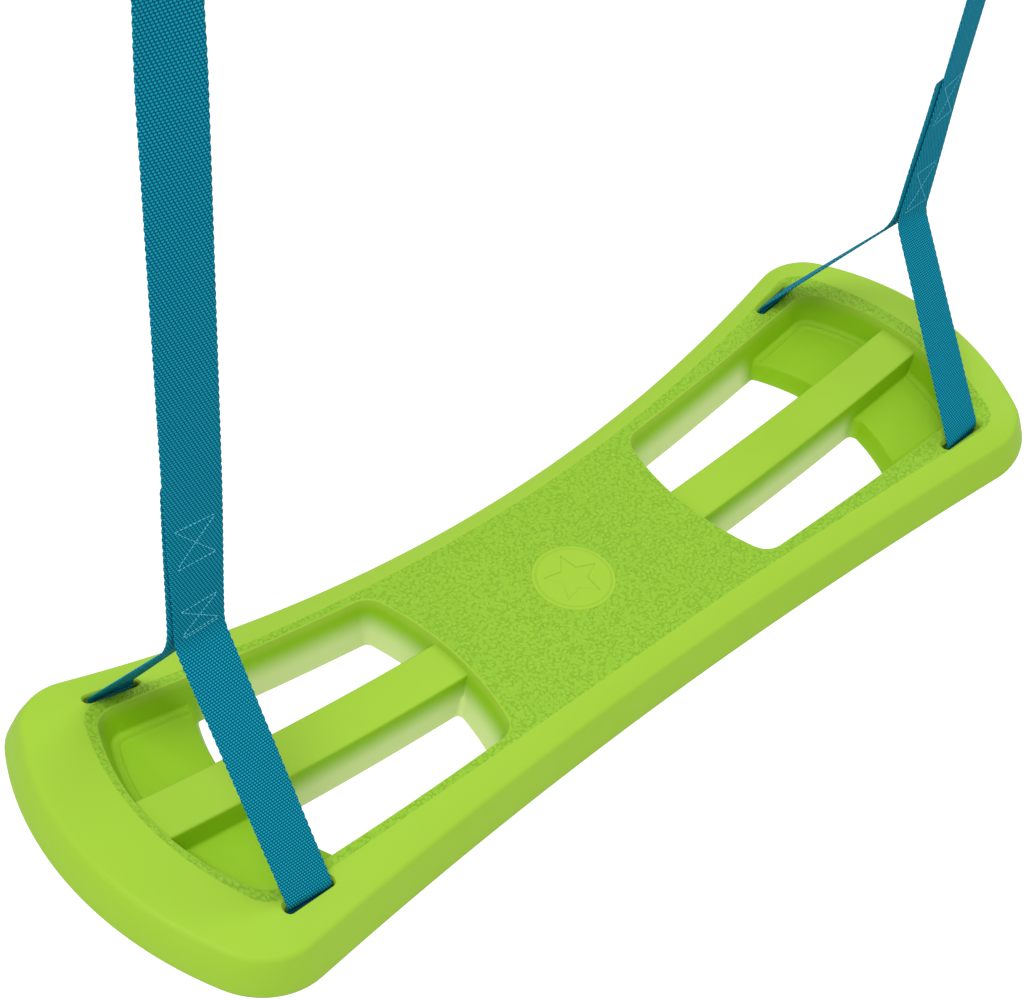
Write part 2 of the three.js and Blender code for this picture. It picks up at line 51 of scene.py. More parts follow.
THICK = 44
BOW_RADIUS = 1930
HALF_WAIST = 114
RIM_NEAR = dict(half_length=485, side_radius=2276, end_radius=265, corner=50)
RIM_FAR = dict(half_length=480, side_radius=2276, end_radius=265, corner=50)
LAND_HALF_WAIST = 94
LAND_NEAR = dict(half_length=433, side_radius=4400, end_radius=250, corner=24)
LAND_FAR = dict(half_length=440, side_radius=2300, end_radius=300, corner=24)
BAND_STRAIGHT = 0.75  # share of the sloping band's fall that is even from edge to edge
SHOULDER_DROP, SHOULDER_RADIUS, END_SHOULDER_RADIUS = 7.3, 5.5, 11
SHOULDER_FROM, SHOULDER_TO = math.radians(20), math.radians(68)
SHOULDER_SOFTENS = 400, 465  # along the board, from the tight to the soft shoulder
# The side leans out down to its foot and turns in under it. Each pair is (inset, depth).
SIDE_WALL = [(-3.1, 19), (-6.4, 27.5), (-9.5, 35.6)]
FOOT_ROUNDING = [(-9.6, 37.4), (-9.2, 39.3), (-8.1, 41.2), (-6.6, 42.7), (-4.9, 43.6), (-3, 44)]

WINDOW_INNER_X, WINDOW_INNER_RADIUS = 135.5, 260
WINDOW_OUTER_X, WINDOW_OUTER_RADIUS = 428, 205
WINDOW_HALF_INNER, WINDOW_HALF_OUTER = 87.5, 103.5
WINDOW_INNER_CORNER, WINDOW_OUTER_CORNER = 20, 24
DRAFT = 0.31
SHELF_DEPTH = 27
RIM_ROUNDING = 1.6
HOLE_CENTRE_X, HOLE_RADIUS = 150, 206.5
HOLE_OUTER_CORNERS = 7, 4  # beside the spine, and beside the window's wall
HOLE_TIGHT_CORNER, HOLE_CORNER_GROWTH = 1.5, 3.5  # the inner corner beside the spine
HOLE_CORNER_GROWS = 21.4, 32  # between these depths

SPINE_DROP = 6
SPINE_HALF_TOP, SPINE_HALF_BOTTOM = 20.9, 27
SPINE_EDGE, SPINE_ROOT = 2.5, 30
SPINE_FROM, SPINE_TO = 108, 446

SLOT_X, SLOT_Y = 377.5, 117
SLOT_LENGTH, SLOT_WIDTH = 45, 7
SLOT_TURN = math.radians(4.5)
MOUTH_END_LOSS = 0.3  # share of a mouth's widening that its ends lack

MEDALLION_RADIUS, MEDALLION_RISE = 36, 0.9
STAR_OUTER, STAR_INNER, STAR_SINK = 26, 12, 0.6
GROOVE_INSET, GROOVE_RISE, GROOVE_RADIUS = 3.5, 0.35, 0.9
BLOW_HOLE_RADIUS, BLOW_HOLE_X = 3, 60

WEB_WIDTH, WEB_THICK, WEB_GAP = 40, 2, 0.3
APEX_Z, TAIL_Z, EYE_BAR_Z, EYE_TAIL = 211, 356, 785, 60
EYE_CLEARANCE, EYE_NECK = 3.5, 26
FRONT_BEND, REAR_BEND = 8, 20
FOOT_BEND_BELOW, FOOT_BEND_ABOVE = 2.5, 3
TAIL_SHIFT = {"near": (-4, 0), "far": (-3, -7)}  # at the joint and at the tail's end
SLOT_PLAY = 3.2
SPLIT_DEPTH = 5
SCALLOP_PITCH, SCALLOP_DEPTH, SCALLOP_MIDDLE = 6.5, 0.7, 0.7
STRIP_SPACING = 1.3  # between a strip's cross-sections
LEANS_ALL_OVER = 1e6  # a top so high that the whole strip follows the board's slope
TWIST = {"near": math.radians(-9), "far": math.radians(9)}
TWIST_GROWS_OVER, TWIST_ENDS_BELOW, TWIST_FADES_OVER = 150, 68, 90

RING_WIRE, RING_HALF_WIDTH, RING_SIDE = 3, 26, 16
RING_CORNER = 7
HOOK_WIRE, HOOK_BOW, HOOK_STRAIGHT = 4, 13, 34
PIN_Z, NOSE_Z, GATE_WIRE = 4.5, 29, 3.6
NOSE_STEP, GATE_EDGE = 0.5, 0.7
LUG_RADIUS, TONGUE, CHEEK, PIN_RADIUS = 3.4, 2.8, 1.5, 1.1

GAP = 0.3
CORNER_STEPS = 12  # points along each rounded corner of an outline
FINE_STEPS = 96  # points round the medallion
ENDS = {"near": -1, "far": 1}

LAYER_Y = (WEB_THICK + WEB_GAP) / 2
RING_TOP_Z = EYE_BAR_Z + RING_SIDE + RING_HALF_WIDTH
HOOK_BOW_Z = RING_TOP_Z - RING_WIRE - GAP - HOOK_WIRE + HOOK_BOW
HOOK_TOP_BOW_Z = HOOK_BOW_Z + HOOK_STRAIGHT
PIN_HEIGHT = HOOK_BOW_Z + PIN_Z
SLOT_DECK_Z = SLOT_X**2 / (2 * BOW_RADIUS)
SLOT_SLOPE = SLOT_X / BOW_RADIUS
SPLIT_Z = SLOT_DECK_Z - SPLIT_DEPTH

# How far the hanging line, where the CAD frame has its origin, is above the deck.
HANG_DROP = HOOK_TOP_BOW_Z + HOOK_BOW + HOOK_WIRE - 1000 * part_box("near_hook_body")[1].z

# ---------- colours ----------


def srgb(*values):
    """A colour of 0 to 255 values as Blender's linear colour."""
    linear = [((v / 255 + 0.055) / 1.055) ** 2.4 if v > 10 else v / 3294.6 for v in values]
    return (*linear, 1.0)


LIME = srgb(143, 181, 52)
LIME_SHADE = srgb(139, 178, 44)
LIME_LAND = srgb(124, 168, 42)
LIME_LAND_SHADE = srgb(131, 175, 40)
# The next two are painted: shade in the grain's furrows and a highlight on its pebbles.
LIME_PAINTED_PIT_SHADE = srgb(96, 142, 14)
LIME_GLINT = srgb(143, 188, 64)
# The next two are painted: shade low in the windows and a glow of light on the holes' walls.
LIME_PAINTED_DEPTH_SHADE = srgb(124, 174, 0)
LIME_PAINTED_GLOW = srgb(200, 214, 150)
TEAL = srgb(0, 132, 157)
# The next two are painted: a highlight on the weave's floats and shade in the gaps between them.
TEAL_PAINTED_HIGHLIGHT = srgb(58, 172, 192)
TEAL_PAINTED_SHADE = srgb(0, 66, 90)
THREAD = srgb(92, 186, 206)
THREAD_DARK = srgb(44, 148, 172)
STEEL = srgb(178, 181, 184)
STEEL_DARK = srgb(140, 144, 148)
PAPER = srgb(252, 252, 252)
PAPER_SHADE = srgb(248, 248, 248)

# ---------- outlines made of arcs ----------

# An edge is (x, y, radius) of a circle. A positive radius has the outline's inside within
# the circle and a negative one outside it, so an inset takes its amount off every radius.


def straight_edge(a, b):
    """An arc of a very large circle that runs from a to b, with the inside on its left."""
    radius = 1e5
    dx, dy = b[0] - a[0], b[1] - a[1]
    length = math.hypot(dx, dy)
    x = (a[0] + b[0]) / 2 - dy / length * radius
    y = (a[1] + b[1]) / 2 + dx / length * radius
    return x, y, radius


def inset_edge(edge, inset):
    """The edge moved towards the outline's inside."""
    x, y, radius = edge
    return x, y, radius - inset


def corner_centre(a, b, radius, near):
    """The centre of the corner arc, nearest to a point, that touches two edges."""
    ra, rb = abs(a[2] - radius), abs(b[2] - radius)
    dx, dy = b[0] - a[0], b[1] - a[1]
    d = math.hypot(dx, dy)
    along = (ra * ra - rb * rb + d * d) / (2 * d)
    across = math.sqrt(ra * ra - along * along)
    options = [
        (a[0] + (along * dx - s * across * dy) / d, a[1] + (along * dy + s * across * dx) / d)
        for s in (1, -1)
    ]
    return min(options, key=lambda p: math.hypot(p[0] - near[0], p[1] - near[1]))


def touch_point(edge, centre):
    """Where a corner arc with this centre meets an edge."""
    dx, dy = centre[0] - edge[0], centre[1] - edge[1]
    share = abs(edge[2]) / math.hypot(dx, dy)
    return edge[0] + dx * share, edge[1] + dy * share


def on_circle(centre, radius, angles):
    """The points of a circle at these angles."""
    return [(centre[0] + radius * math.cos(t), centre[1] + radius * math.sin(t)) for t in angles]


def arc_points(centre, a, b, steps):
    """Points from a towards b on the shorter arc about the centre, without b itself."""
    start = math.atan2(a[1] - centre[1], a[0] - centre[0])
    sweep = math.atan2(b[1] - centre[1], b[0] - centre[0]) - start
    sweep = (sweep + math.pi) % (2 * math.pi) - math.pi
    radius = math.hypot(a[0] - centre[0], a[1] - centre[1])
    return on_circle(centre, radius, [start + sweep * i / steps for i in range(steps)])


def open_chain(edges, corners, steps, start, end):
    """Points along edges joined by corner arcs, from start to end."""
    centres = [corner_centre(edges[i], edges[i + 1], *c) for i, c in enumerate(corners)]
    points, here = [], start
    for i, edge in enumerate(edges):
        there = touch_point(edge, centres[i]) if i < len(centres) else end
        points += arc_points(edge, here, there, steps[i])
        if i < len(centres):
            here = touch_point(edges[i + 1], centres[i])
            points += arc_points(centres[i], there, here, CORNER_STEPS)
    return points + [end]


def closed_chain(edges, corners, steps):
    """A closed outline of edges, with a corner arc after each of them."""
    count = len(edges)
    centres = [corner_centre(edges[i], edges[(i + 1) % count], *corners[i]) for i in range(count)]
    points = []
    for i, edge in enumerate(edges):
        a, b = touch_point(edge, centres[i - 1]), touch_point(edge, centres[i])
        following = touch_point(edges[(i + 1) % count], centres[i])
        points += arc_points(edge, a, b, steps[i])
        points += arc_points(centres[i], b, following, CORNER_STEPS)
    return points


def mirrored(half):
    """A closed outline from its rear half, which runs from the +X tip to the -X tip."""
    return half + [(x, -y) for x, y in reversed(half[1:-1])]


def turned(points):
    """The same outline turned end for end, still anticlockwise from above."""
    flipped = [(-x, y) for x, y in points]
    return flipped[:1] + flipped[:0:-1]


def for_end(points, end):
    """The far end's outline, or the same turned end for end for the near end."""
    return turned(points) if end < 0 else points


def hourglass_half(half_waist, inset, half_length, side_radius, end_radius, corner):
    """The rear half of one end of an hourglass, from its tip to the waist."""
    cap = inset_edge((half_length - end_radius, 0, end_radius), inset)
    side = inset_edge((0, half_waist + side_radius, -side_radius), inset)
    beside_corner = (half_length, 1.4 * half_waist)
    start, end = (half_length - inset, 0), (0, half_waist - inset)
    corners = [(corner - inset, beside_corner)]
    return open_chain([cap, side], corners, [22, 56], start, end)


def hourglass(half_waist, near_end, far_end, inset=0.0):
    """An outline with hollow long sides, rounded ends and rounded corners."""
    far = hourglass_half(half_waist, inset, **far_end)
    near = hourglass_half(half_waist, inset, **near_end)
    return mirrored(far + [(-x, y) for x, y in reversed(near[:-1])])


REAR_OUTER = (WINDOW_OUTER_X, WINDOW_HALF_OUTER)
REAR_INNER = (WINDOW_INNER_X, WINDOW_HALF_INNER)
WINDOW_SIDE = straight_edge(REAR_OUTER, REAR_INNER)
WINDOW_INNER = (WINDOW_INNER_X + WINDOW_INNER_RADIUS, 0, WINDOW_INNER_RADIUS)
WINDOW_OUTER = (WINDOW_OUTER_X - WINDOW_OUTER_RADIUS, 0, WINDOW_OUTER_RADIUS)


def pocket_outline(inset):
    """The whole window of the far end, across both sides of the spine."""
    edges = [inset_edge(e, inset) for e in (WINDOW_OUTER, WINDOW_SIDE, WINDOW_INNER)]
    corners = [
        (WINDOW_OUTER_CORNER - inset, REAR_OUTER),
        (WINDOW_INNER_CORNER - inset, REAR_INNER),
    ]
    ends = (WINDOW_OUTER_X - inset, 0), (WINDOW_INNER_X + inset, 0)
    return mirrored(open_chain(edges, corners, [16, 40, 16], *ends))


def hole_outline(depth, wall_inset, arc_inset, spine_y):
    """The hole beside the spine in the far end's rear quarter, at one depth."""
    outer = (HOLE_CENTRE_X, 0, HOLE_RADIUS - arc_inset)
    outer_x = HOLE_CENTRE_X + HOLE_RADIUS
    edges = [
        straight_edge((WINDOW_INNER_X, spine_y), (outer_x, spine_y)),
        outer,
        inset_edge(WINDOW_SIDE, wall_inset),
        inset_edge(WINDOW_INNER, wall_inset),
    ]
    by_spine, by_wall = HOLE_OUTER_CORNERS
    grown = float(smoothstep(depth, *HOLE_CORNER_GROWS))
    corners = [
        (by_spine, (outer_x, spine_y)),
        (by_wall, (outer_x, WINDOW_HALF_OUTER)),
        (max(WINDOW_INNER_CORNER - wall_inset, by_wall), REAR_INNER),
        (HOLE_TIGHT_CORNER + HOLE_CORNER_GROWTH * grown, (WINDOW_INNER_X, spine_y)),
    ]
    return closed_chain(edges, corners, [44, 24, 44, 20])


def slot_outline(side_x, side_y, inset):
    """A round-ended slot, turned and placed in one quarter of the board."""
    radius = SLOT_WIDTH / 2 - inset
    reach = (SLOT_LENGTH - SLOT_WIDTH) / 2 + MOUTH_END_LOSS * min(inset, 0)
    angle = side_x * side_y * SLOT_TURN
    steps = 12
    ends = []
    for end in (1, -1):
        angles = [(i / steps - end / 2) * math.pi for i in range(steps + 1)]
        ends += on_circle((end * reach, 0), radius, angles)
    cos, sin = math.cos(angle), math.sin(angle)
    centre_x, centre_y = side_x * SLOT_X, side_y * SLOT_Y
    return [(centre_x + x * cos - y * sin, centre_y + x * sin + y * cos) for x, y in ends]


def circle(radius, count, x=0.0, y=0.0):
    """An anticlockwise circle."""
    return on_circle((x, y), radius, [2 * math.pi * i / count for i in range(count)])


def star_outline(grow):
    """A five-pointed star, a little larger all round."""
    radii = [(STAR_INNER if i % 2 else STAR_OUTER) + grow for i in range(10)]
    return [
        (r * math.cos(i * math.pi / 5), r * math.sin(i * math.pi / 5))
        for i, r in enumerate(radii)
    ]


# ---------- meshes ----------


def bow(x):
    """How far the deck has risen at x from the waist."""
    return x * x / (2 * BOW_RADIUS)


def smoothstep(value, low, high):
    """0 below low, 1 above high, and smooth between them."""
    t = np.clip((value - low) / (high - low), 0, 1)
    return t * t * (3 - 2 * t)


def at_depth(points, depth):
    """An outline laid on the bowed board, below the deck."""
    return [(x, y, bow(x) - depth) for x, y in points]


def at_height(points, z):
    """An outline laid level."""
    return [(x, y, z) for x, y in points]


def mesh_object(name, points, faces):
    """A new object with its faces turned outwards."""
    mesh = bpy.data.meshes.new(name)
    mesh.from_pydata([tuple(p) for p in points], [], faces)
    work = bmesh.new()
    work.from_mesh(mesh)
    bmesh.ops.recalc_face_normals(work, faces=work.faces)
    work.to_mesh(mesh)
    work.free()
    obj = bpy.data.objects.new(name, mesh)
    bpy.context.scene.collection.objects.link(obj)
    return obj


def ring_walls(rings, count):
    """The quads between matching rings."""
    faces = []
    for low in range(0, (rings - 1) * count, count):
        for i in range(count):
            j = (i + 1) % count
            faces.append((low + i, low + count + i, low + count + j, low + j))
    return faces


def ladder(count, first):
    """A cap of quads between points that face each other across the outline."""
    faces = []
    for a in range(count // 2):
        b, c, d = a + 1, count - a - 1, (count - a) % count
        face = list(dict.fromkeys((a, b, c, d)))
        faces.append(tuple(first + i for i in face))
    return faces


def loft(name, rings, ladder_caps=True):
    """A closed solid through matching rings. The top cap's faces come last."""
    count = len(rings[0])
    low = (len(rings) - 1) * count
    faces = ring_walls(len(rings), count)
    if ladder_caps:
        faces += ladder(count, low) + ladder(count, 0)
    else:
        faces += [tuple(low + i for i in range(count)), tuple(range(count))]
    return mesh_object(name, [p for ring in rings for p in ring], faces)


def combine(target, tool, operation):
    """Cuts a solid out of the target, or joins it on, and drops the tool."""
    boolean = target.modifiers.new("combine", "BOOLEAN")
    boolean.operation = operation
    boolean.solver = "MANIFOLD"
    boolean.object = tool
    bpy.context.view_layer.update()
    evaluated = target.evaluated_get(bpy.context.evaluated_depsgraph_get())
    mesh = bpy.data.meshes.new_from_object(evaluated)
    target.modifiers.clear()
    target.data = mesh
    bpy.data.objects.remove(tool)


def settle(obj, sharp_degrees):
    """Smooth shading with the hard edges kept, in metres and in the CAD frame."""
    mesh = obj.data
    mesh.transform(Matrix.Translation((0, 0, -HANG_DROP / 1000)) @ Matrix.Scale(0.001, 4))
    mesh.shade_smooth()
    mesh.set_sharp_from_angle(angle=math.radians(sharp_degrees))
    mesh.update()
    return obj


def hold(obj, body, slot, *nodes):
    """The piece rides on a body and stands for CAD nodes. Its slot is not used."""
    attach(obj, body)
    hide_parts(*nodes)
    return obj


# ---------- the board ----------


def rim_ring(inset, depth):
    """The board's outer outline at one depth."""
    return at_depth(hourglass(HALF_WAIST, RIM_NEAR, RIM_FAR, inset), depth)


def shoulder_ring(angle):
    """The board's shoulder at one angle round it: tight along the sides, soft at the ends."""
    rings = []
    for radius in (SHOULDER_RADIUS, END_SHOULDER_RADIUS):
        fall = radius * (math.cos(SHOULDER_FROM) - math.cos(angle))
        rings.append(rim_ring(radius * (1 - math.sin(angle)), SHOULDER_DROP + fall))
    tight, soft = np.array(rings)
    share = smoothstep(np.abs(tight[:, :1]), *SHOULDER_SOFTENS)
    return [tuple(p) for p in tight + (soft - tight) * share]


def sloping_band(land):
    """The rings between the land's edge and the shoulder."""
    foot = [(x, y) for x, y, _ in shoulder_ring(SHOULDER_FROM)]
    rings = []
    for share in (0.03, 0.1, 0.3, 0.55, 0.8, 1):
        between = [
            (ax + (bx - ax) * share, ay + (by - ay) * share)
            for (ax, ay), (bx, by) in zip(land, foot)
        ]
        fall = BAND_STRAIGHT * share + (1 - BAND_STRAIGHT) * share**2
        rings.append(at_depth(between, SHOULDER_DROP * fall))
    return rings


def board_body():
    """The outside of the board. Its top cap is the textured land."""
    steps = 8
    sweep = SHOULDER_TO - SHOULDER_FROM
    land = hourglass(LAND_HALF_WAIST, LAND_NEAR, LAND_FAR)
    rings = [at_depth(land, 0)] + sloping_band(land)
    rings += [shoulder_ring(SHOULDER_FROM + sweep * i / steps) for i in range(1, steps + 1)]
    rings += [rim_ring(inset, depth) for inset, depth in SIDE_WALL + FOOT_ROUNDING]
    body = loft("board", rings)
    land_faces = len(land) // 2
    for polygon in body.data.polygons[-land_faces:]:
        polygon.material_index = 1
    return body


def rounded_rim(radius):
    """(inset, depth) pairs round the top edge of a drafted wall, starting above the deck."""
    above, outside, lead = 6, 1.2, 0.4
    end = math.atan(1 / DRAFT)
    offset = radius * math.sin(end) - DRAFT * radius * (1 - math.cos(end))
    angles = [end * share for share in (0.25, 0.5, 0.75, 1)]
    arc = [(radius * math.sin(a) - offset, radius * (1 - math.cos(a))) for a in angles]
    inset, depth = arc[0]
    return [(inset - outside, -above), (inset - outside, depth - lead)] + arc


def pocket_profile():
    """(inset, depth) of the window's wall, the fillet at its foot and the shelf's ridge."""
    fillet_inset, fillet_depth, fillet_radius = 11.2, 20.9, 4.5
    fillet = [
        (fillet_inset - fillet_radius * math.sin(b), fillet_depth + fillet_radius * math.cos(b))
        for b in [math.atan(1 / DRAFT) * share for share in (1, 0.75, 0.5, 0.25, 0)]
    ]
    ridge = [(12.2, 25.1), (12.8, 24.9), (13.3, 25.1), (14.0, 26.2), (15.0, 26.8)]
    floor = [(17, SHELF_DEPTH)]
    return rounded_rim(RIM_ROUNDING) + fillet + ridge + floor


def pocket_cut(end):
    """The recess of one window, from above the deck down to its shelf."""
    rings = [at_depth(for_end(pocket_outline(i), end), d) for i, d in pocket_profile()]
    return loft("pocket", rings)


def spine_half(depth):
    """Half the spine's width, outside its rounded top edges."""
    share = (depth - SPINE_DROP - SPINE_EDGE) / (THICK - 1 - SPINE_DROP - SPINE_EDGE)
    return SPINE_HALF_TOP + (SPINE_HALF_BOTTOM - SPINE_HALF_TOP) * max(share, 0)


def spine_body(end):
    """The beam along a window, with rounded top edges and a fillet on the shelf."""
    steps, edge_steps = 30, 5

    def ring(half_width, depth):
        length = SPINE_TO - SPINE_FROM
        rear = [(SPINE_TO - length * i / steps, half_width) for i in range(steps + 1)]
        return at_depth(for_end(mirrored([(SPINE_TO, 0)] + rear + [(SPINE_FROM, 0)]), end), depth)

    rings = []
    for i in range(edge_steps + 1):
        a = math.pi / 2 * i / edge_steps
        half_width = SPINE_HALF_TOP - SPINE_EDGE * (1 - math.sin(a))
        rings.append(ring(half_width, SPINE_DROP + SPINE_EDGE * (1 - math.cos(a))))
    fillet_top, fillet_reach = SHELF_DEPTH - 3.2, 2.4
    for fall, grow in ((0, 0), (1.4, 0.3), (2.4, 1), (3.3, fillet_reach)):
        rings.append(ring(spine_half(fillet_top + fall) + grow, fillet_top + fall))
    rings.append(ring(spine_half(SPINE_ROOT) + fillet_reach, SPINE_ROOT))
    return loft("spine", rings)


def hole_cut(side_x, side_y):
    """A hole right through one quarter of the board, beside the spine."""
    # Depth, then how far the hole stands inside the window's wall, the arc and the spine.
    profile = [
        (19.0, 0.6, -1.6, 0.6),
        (21.4, -0.02, -1.6, 0.1),
        (25.8, -0.02, -1.5, 0.1),
        (26.8, -0.02, -1.0, 0.1),
        (27.6, -0.02, -0.5, 0.1),
        (29.0, -0.02, 0, 0.1),
        (THICK - 1.6, -0.02, 0, 0.1),
        (THICK - 0.8, -0.4, -0.4, -0.3),
        (THICK - 0.2, -1.2, -1.2, -1.1),
        (THICK + 1.5, -3.4, -3.4, -3.3),
        (THICK + 6, -3.4, -3.4, -3.3),
    ]
    rings = []
    for depth, wall, arc, beam in profile:
        level = min(depth, THICK)
        draft = DRAFT * level
        outline = hole_outline(depth, draft + wall, draft + arc, spine_half(level) + beam)
        rings.append(at_depth([(side_x * x, side_y * y) for x, y in outline], depth))
    return loft("hole", rings, ladder_caps=False)


def slot_cut(side_x, side_y):
    """A webbing slot through the board, eased at both mouths."""
    # (inset, depth) from above the deck down into the slot.
    mouth = [(-4.4, -4), (-4.4, -0.4), (-3.3, 0.1), (-2.6, 0.8), (-0.6, 3.2), (-0.1, 4.2), (0, 5)]
    profile = mouth + [(inset, THICK - depth) for inset, depth in reversed(mouth)]
    rings = [at_depth(slot_outline(side_x, side_y, i), d) for i, d in profile]
    return loft("slot", rings, ladder_caps=False)


def medallion():
    """A low round medallion with eased edges, rooted in the deck."""
    profile = [(-1.4, 0), (-0.7, 0.07), (-0.2, 0.3), (0, 0.65), (0.5, 1.5), (1, 2.6)]
    rings = [
        at_height(circle(MEDALLION_RADIUS + grow, FINE_STEPS), MEDALLION_RISE - drop)
        for grow, drop in profile
    ]
    return loft("medallion", rings)


def star_cut():
    """The star sunk into the medallion, with drafted sides."""
    levels = [(0.6, 2), (0.15, 0), (-0.15, -STAR_SINK)]
    rings = [at_height(star_outline(grow), MEDALLION_RISE + z) for grow, z in levels]
    return loft("star", rings, ladder_caps=False)


def ring_groove():
    """A fine groove round the medallion, inside its edge."""
    middle = circle(MEDALLION_RADIUS - GROOVE_INSET, FINE_STEPS)
    path = at_height(middle, MEDALLION_RISE + GROOVE_RISE)
    return mesh_object("groove", *tube(path, GROOVE_RADIUS, 16, (0, 0, 1), closed=True))


def blow_hole():
    """The moulding's vent in the underside."""
    outline = circle(BLOW_HOLE_RADIUS, 32, BLOW_HOLE_X)
    rings = [at_height(outline, -THICK + 8), at_height(outline, -THICK - 6)]
    return loft("blow_hole", rings)


def make_board(smooth, textured):
    """The whole moulding, with its land in the textured finish."""
    board = board_body()
    board.data.materials.append(smooth)
    board.data.materials.append(textured)
    for end in (1, -1):
        combine(board, pocket_cut(end), "DIFFERENCE")
        combine(board, spine_body(end), "UNION")
        for side in (1, -1):
            combine(board, hole_cut(end, side), "DIFFERENCE")
            combine(board, slot_cut(end, side), "DIFFERENCE")
    combine(board, medallion(), "UNION")
    combine(board, star_cut(), "DIFFERENCE")
    combine(board, ring_groove(), "DIFFERENCE")
    combine(board, blow_hole(), "DIFFERENCE")
    settle(board, 34)
    weighted = board.modifiers.new("normals", "WEIGHTED_NORMAL")
    weighted.keep_sharp = True
    board.name = "board_moulding"
    return hold(board, "deck", "board", "board")


# ---------- webbing paths, as (y, z) points ----------


def bezier(*controls, steps=12):
    """Points on a Bezier curve of any degree, without its first point."""
    degree = len(controls) - 1
    result = []
    for i in range(1, steps + 1):
        t = i / steps
        weights = [
            math.comb(degree, k) * t**k * (1 - t) ** (degree - k) for k in range(degree + 1)
        ]
        result.append(tuple(sum(w * c[j] for w, c in zip(weights, controls)) for j in (0, 1)))
    return result


def leg_line(side):
    """A leg from its slot to the apex, with both bends rounded."""
    foot = (side * SLOT_Y, SLOT_DECK_Z)
    apex = (side * LAYER_Y, APEX_Z)
    length = math.hypot(apex[0] - foot[0], apex[1] - foot[1])
    ly, lz = (apex[0] - foot[0]) / length, (apex[1] - foot[1]) / length
    bend = REAR_BEND if side > 0 else FRONT_BEND
    before = (foot[0], foot[1] - FOOT_BEND_BELOW)
    after = (foot[0] + FOOT_BEND_ABOVE * ly, foot[1] + FOOT_BEND_ABOVE * lz)
    below = (apex[0] - bend * ly, apex[1] - bend * lz)
    line = [(foot[0], SPLIT_Z), before]
    line += bezier(before, foot, after, steps=6) + [below]
    return line + bezier(below, apex, (apex[0], apex[1] + bend))


def main_line():
    """Front leg, strap and the eye round the ring's bar."""
    eye = RING_WIRE + EYE_CLEARANCE + WEB_THICK / 2
    neck = EYE_BAR_Z - EYE_NECK
    inner_pull, outer_pull = neck + 14, neck + 12
    steps = 16

    def flank(side):
        start, finish = (side * LAYER_Y, neck), (side * eye, EYE_BAR_Z)
        return [start, (side * LAYER_Y, inner_pull), (side * eye, outer_pull), finish]

    line = leg_line(-1) + [(-LAYER_Y, neck)] + bezier(*flank(-1))
    angles = [math.pi * (1 - i / steps) for i in range(1, steps + 1)]
    line += [(eye * math.cos(a), EYE_BAR_Z + eye * math.sin(a)) for a in angles]
    return line + bezier(*reversed(flank(1))) + [(LAYER_Y, EYE_BAR_Z - EYE_TAIL)]


def tail_line():
    """Rear leg and the tail stitched to the back of the strap."""
    return leg_line(1) + [(LAYER_Y, TAIL_Z)]


def under_line():
    """Down one slot, under the board and up the other."""
    low = SLOT_DECK_Z - THICK - GAP - WEB_THICK / 2
    bend = 5
    top = SPLIT_Z - SLOT_PLAY
    front, rear = -SLOT_Y, SLOT_Y
    line = [(front, top), (front, low + bend)]
    line += bezier((front, low + bend), (front, low), (front + bend, low), steps=8)
    line += [(rear - bend, low)]
    line += bezier((rear - bend, low), (rear, low), (rear, low + bend), steps=8)
    return line + [(rear, top)]


def evenly(line, spacing):
    """The same line with evenly spaced points, and the length along it at each."""
    points = np.array(line, float)
    steps = np.hypot(*np.diff(points, axis=0).T)
    along = np.concatenate([[0], np.cumsum(steps)])
    count = max(int(along[-1] / spacing), 2)
    at = np.linspace(0, along[-1], count + 1)
    return np.stack([np.interp(at, along, points[:, k]) for k in (0, 1)], 1), at


# ---------- webbing ----------


def lean_to_board(points, end, top_z):
    """Leans a strap's lower end to the slope that the board has at its slots."""
    share = np.clip((top_z - points[:, 2]) / (top_z - SPLIT_Z), 0, 1)
    points[:, 2] += end * SLOT_SLOPE * points[:, 0] * share


def twist_strap(points, turn):
    """Turns points about the strap's own axis, as far as their height says."""
    z = points[:, 2]
    fade_end = EYE_BAR_Z - TWIST_ENDS_BELOW
    grown = smoothstep(z, APEX_Z, APEX_Z + TWIST_GROWS_OVER)
    angle = turn * grown * (1 - smoothstep(z, fade_end - TWIST_FADES_OVER, fade_end))
    x, y = points[:, 0].copy(), points[:, 1].copy()
    points[:, 0] = x * np.cos(angle) - y * np.sin(angle)
    points[:, 1] = x * np.sin(angle) + y * np.cos(angle)


def section():
    """The webbing's cross-section as (across, through), with rounded selvedges."""
    columns, squareness = 24, 16
    across = [-math.cos(math.pi * i / columns) for i in range(columns + 1)]
    front = [(u, (1 - abs(u) ** squareness) ** 0.5) for u in across]
    back = [(u, -t) for u, t in front[-2:0:-1]]
    return np.array(front + back)


def shift_sideways(points, at_joint, at_end):
    """Moves a strap sideways, by nothing at its slot and by these amounts higher up."""
    z = points[:, 2]
    share = (np.clip(z, APEX_Z, TAIL_Z) - APEX_Z) / (TAIL_Z - APEX_Z)
    sideways = at_joint + (at_end - at_joint) * share
    points[:, 0] += sideways * smoothstep(z, SLOT_DECK_Z, APEX_Z)


def scalloped_half_width(along, cross):
    """Half the webbing's width at each point. Only its selvedges feel the scallops."""
    wave = np.abs(np.sin(np.pi * along / SCALLOP_PITCH)) - SCALLOP_MIDDLE
    selvedge = np.abs(cross[:, 0]) ** 10
    return WEB_WIDTH / 2 + SCALLOP_DEPTH * wave[:, None] * selvedge[None, :]


def keep_weave(strip, across, along):
    """Stores where each point lies on the flat webbing, for the woven material."""
    along = np.repeat(along[:, None], across.shape[1], 1)
    where = np.stack([across, along, np.zeros_like(across)], 2).astype(np.float32)
    weave = strip.data.attributes.new("weave", "FLOAT_VECTOR", "POINT")
    weave.data.foreach_set("vector", where.ravel())


